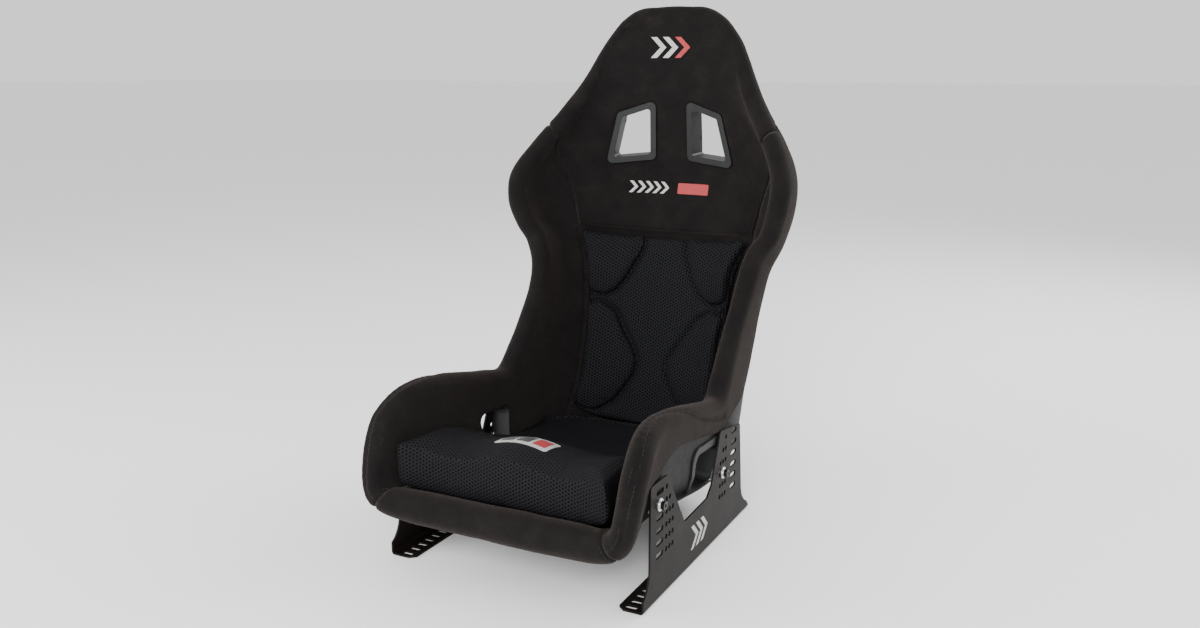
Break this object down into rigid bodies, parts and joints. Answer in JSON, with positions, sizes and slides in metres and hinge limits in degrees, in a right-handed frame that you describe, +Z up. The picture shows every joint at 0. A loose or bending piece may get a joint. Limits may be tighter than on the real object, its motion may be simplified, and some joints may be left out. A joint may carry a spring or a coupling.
{
  "type": "racing seat",
  "caption": "Fixed-back bucket racing seat with padded shell, loose mesh cushions, harness openings with bezels, and bolted steel side brackets.",
  "frame": {"origin": "on the floor plane under the bracket flanges, in the middle of the seat's overall box", "axes": "+Z up; the seat faces -Y, so +Y is to its rear; +X is its left-hand side as the driver sits"},
  "size_m": [0.5572, 0.7105, 0.8907],
  "materials": {
    "gelcoat": "black gelcoat over moulded glass fibre, glossy with a faint laminate ripple",
    "cover_fabric": "black brushed knit, matt",
    "mesh_fabric": "black spacer mesh with small open cells",
    "hook_and_loop": "black hook and loop tape",
    "bezel_plastic": "dark grey satin moulding",
    "bracket_paint": "black satin powder coat",
    "zinc_steel": "bright zinc plate"
  },
  "bodies": {
    "root": {"shell": "gelcoat", "lip_pad": "cover_fabric", "left_thigh_pad": "cover_fabric", "right_thigh_pad": "cover_fabric", "left_side_pad": "cover_fabric", "right_side_pad": "cover_fabric", "pan_pad": "cover_fabric", "back_pad": "cover_fabric", "head_pad": "cover_fabric", "seat_hook_strips": "hook_and_loop", "back_hook_strips": "hook_and_loop", "left_harness_bezel": "bezel_plastic", "right_harness_bezel": "bezel_plastic", "left_harness_rear_bezel": "bezel_plastic", "right_harness_rear_bezel": "bezel_plastic", "left_lap_bezel": "bezel_plastic", "right_lap_bezel": "bezel_plastic", "left_bracket": "bracket_paint", "right_bracket": "bracket_paint", "insert_bosses": "zinc_steel", "spacers": "zinc_steel", "flat_washers": "zinc_steel", "spring_washers": "zinc_steel", "seat_bolts": "zinc_steel"},
    "seat_cushion": {"seat_cushion": "mesh_fabric", "seat_loop_strips": "hook_and_loop"},
    "back_cushion": {"back_cushion": "mesh_fabric", "back_loop_strips": "hook_and_loop"}
  },
  "joints": [
    {"name": "seat_cushion_lift", "type": "slide", "parent": "root", "child": "seat_cushion", "axis": [0, -0.5, 0.866], "range_m": [0, 0.45]},
    {"name": "back_cushion_lift", "type": "slide", "parent": "root", "child": "back_cushion", "axis": [0, -0.45, 0.893], "range_m": [0, 0.25]}
  ]
}
